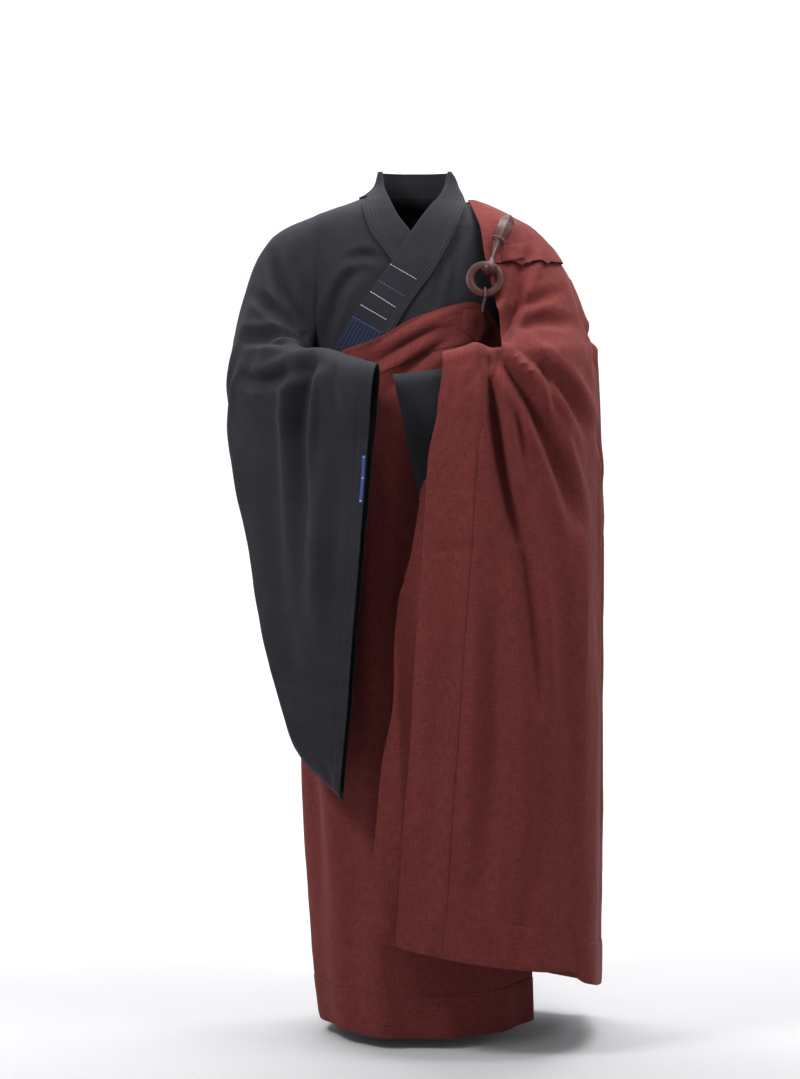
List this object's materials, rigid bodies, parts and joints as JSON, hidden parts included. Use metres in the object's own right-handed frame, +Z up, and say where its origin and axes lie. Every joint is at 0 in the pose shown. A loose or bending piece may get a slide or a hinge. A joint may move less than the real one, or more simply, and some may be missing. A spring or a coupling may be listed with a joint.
{
  "type": "buddhist monk robe: wide-sleeved under robe with a clasped kasaya",
  "caption": "Worn two-layer monk's robe: a wide-sleeved cross-collar under robe beneath a bordered russet kasaya held by a wooden ring and hook.",
  "frame": {"origin": "between the shoulders, where the wearer holds the robe up, on the middle plane of the neck", "axes": "+Z up, +X to the wearer's left, the wearer faces -Y"},
  "size_m": [0.6045, 0.4364, 1.3666],
  "materials": {
    "haiqing_cloth": "plain-woven black cotton, matt",
    "kasaya_cloth": "slubbed russet linen weave, matt",
    "guard_cloth": "dark blue corded guard cloth",
    "stitch_thread": "pale sewing thread",
    "clasp_wood": "dark red-brown polished hardwood",
    "clasp_cord": "twisted dark red cord"
  },
  "bodies": {
    "root": {"haiqing_back": "haiqing_cloth", "haiqing_front_right": "haiqing_cloth", "haiqing_front_left": "haiqing_cloth", "haiqing_sleeve_right": "haiqing_cloth", "haiqing_sleeve_left": "haiqing_cloth", "haiqing_collar_back": "haiqing_cloth", "haiqing_collar_right": "haiqing_cloth", "haiqing_collar_left": "haiqing_cloth", "kasaya_front_wrap": "kasaya_cloth", "kasaya_back_wrap": "kasaya_cloth", "kasaya_left_side": "kasaya_cloth", "kasaya_left_front": "kasaya_cloth", "kasaya_front_fall": "kasaya_cloth", "kasaya_inner_fall": "kasaya_cloth", "kasaya_shoulder_flap": "kasaya_cloth", "kasaya_hem_front": "kasaya_cloth", "kasaya_hem_back": "kasaya_cloth", "kasaya_hem_side": "kasaya_cloth", "kasaya_hem_left_front": "kasaya_cloth", "kasaya_hem_fall": "kasaya_cloth", "kasaya_hem_inner": "kasaya_cloth", "kasaya_end_border": "kasaya_cloth", "kasaya_top_border_front": "kasaya_cloth", "kasaya_top_border_back": "kasaya_cloth", "kasaya_ring_tab": "kasaya_cloth", "kasaya_hook_tab": "kasaya_cloth", "clasp_ring": "clasp_wood", "clasp_hook": "clasp_wood", "clasp_ring_loop": "clasp_cord", "clasp_hook_loop": "clasp_cord"}
  },
  "joints": []
}
